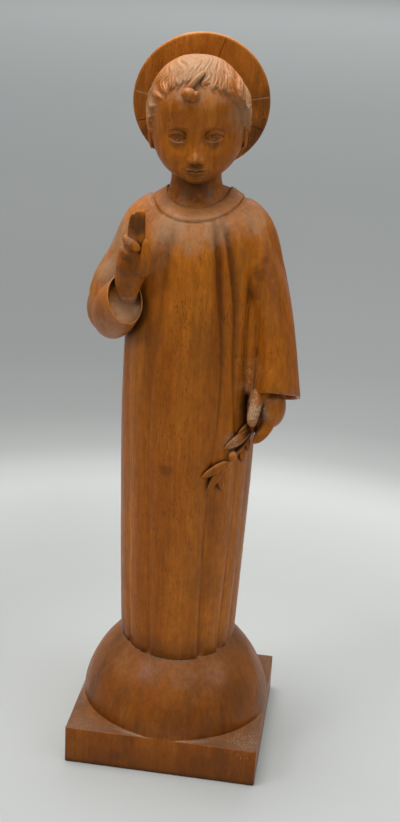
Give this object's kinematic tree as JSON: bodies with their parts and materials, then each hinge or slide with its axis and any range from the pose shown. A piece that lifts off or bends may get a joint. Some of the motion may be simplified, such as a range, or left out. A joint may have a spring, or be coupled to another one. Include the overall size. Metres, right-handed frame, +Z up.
{
  "type": "child jesus statue",
  "caption": "Carved wooden statuette of the blessing child in a long robe, holding an olive sprig, on a domed mound over a square plinth, with a round disc behind the head.",
  "frame": {"origin": "the middle of the plinth's underside", "axes": "+Z up the figure, -Y the way it faces, +X to its left hand with the sprig"},
  "size_m": [0.1212, 0.11, 0.4078],
  "materials": {
    "carved_wood": "stained hardwood, satin polish, greyed by dust on the upper surfaces",
    "halo_wood": "redder stained hardwood, satin polish"
  },
  "bodies": {
    "root": {"figure": "carved_wood", "halo": "halo_wood"}
  },
  "joints": []
}
